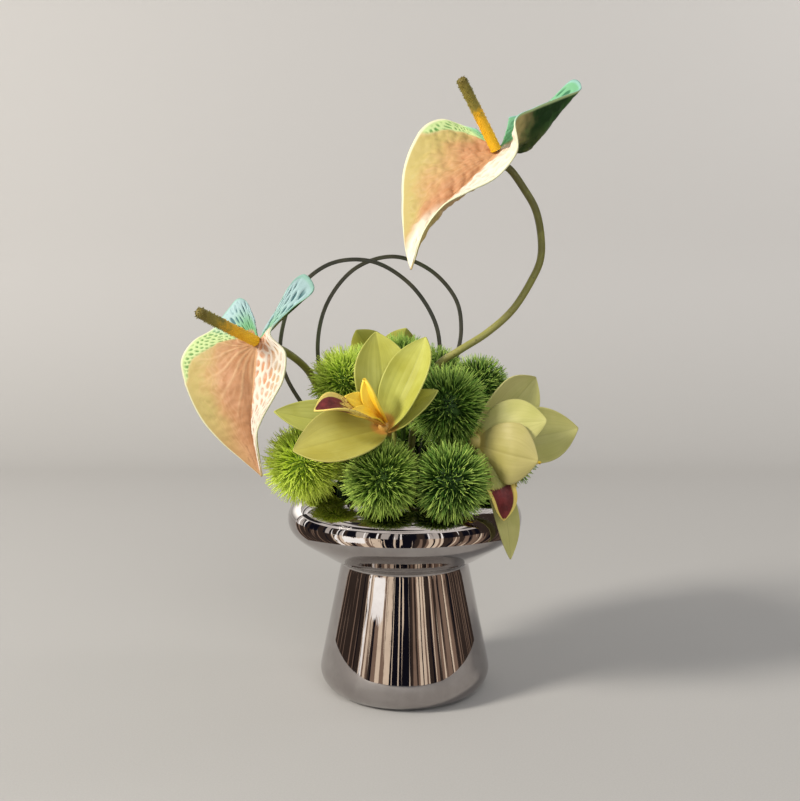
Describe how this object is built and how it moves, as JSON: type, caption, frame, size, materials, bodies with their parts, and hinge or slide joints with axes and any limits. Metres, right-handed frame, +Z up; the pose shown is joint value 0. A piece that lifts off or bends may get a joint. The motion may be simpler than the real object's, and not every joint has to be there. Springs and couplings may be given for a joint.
{
  "type": "ikebana flower arrangement in a pedestal bowl",
  "caption": "Ikebana arrangement: anthuriums, orchid blooms, hoops of grass and needle-leaved green heads in foam in a polished pedestal bowl",
  "frame": {"origin": "centre of the underside of the bowl's foot, on the surface that it stands on", "axes": "+Z up, +X to the right seen from the front, -Y towards the front"},
  "size_m": [0.2922, 0.2301, 0.4568],
  "materials": {
    "mirror_glaze": "mirror plated",
    "foam": "matt, crumbly",
    "needle_green": "soft, satin",
    "grass": "satin",
    "orchid_green": "soft, satin",
    "orchid_lip": "soft, satin",
    "orchid_yellow": "soft, satin",
    "spathe": "waxy",
    "spadix": "beaded, satin",
    "stem": "satin"
  },
  "bodies": {
    "root": {"anthurium_left_spadix": "spadix", "anthurium_left_spathe": "spathe", "anthurium_left_stem": "stem", "anthurium_right_spadix": "spadix", "anthurium_right_spathe": "spathe", "anthurium_right_stem": "stem", "floral_foam": "foam", "grass_loop_left": "grass", "grass_loop_right": "grass", "green_head_back_left": "needle_green", "green_head_back_middle": "needle_green", "green_head_back_right": "needle_green", "green_head_back_top": "needle_green", "green_head_front_left": "needle_green", "green_head_front_middle": "needle_green", "green_head_front_right": "needle_green", "green_head_left_rim": "needle_green", "green_head_right_rim": "needle_green", "green_head_right_shoulder": "needle_green", "green_head_top_front": "needle_green", "green_head_top_left": "needle_green", "green_head_top_right": "needle_green", "green_head_upper_left": "needle_green", "green_head_upper_right": "needle_green", "orchid_back_column": "orchid_yellow", "orchid_back_lip": "orchid_lip", "orchid_back_petals": "orchid_green", "orchid_front_column": "orchid_yellow", "orchid_front_lip": "orchid_lip", "orchid_front_petals": "orchid_green", "orchid_right_column": "orchid_yellow", "orchid_right_lip": "orchid_lip", "orchid_right_petals": "orchid_green", "pedestal_bowl": "mirror_glaze"}
  },
  "joints": []
}
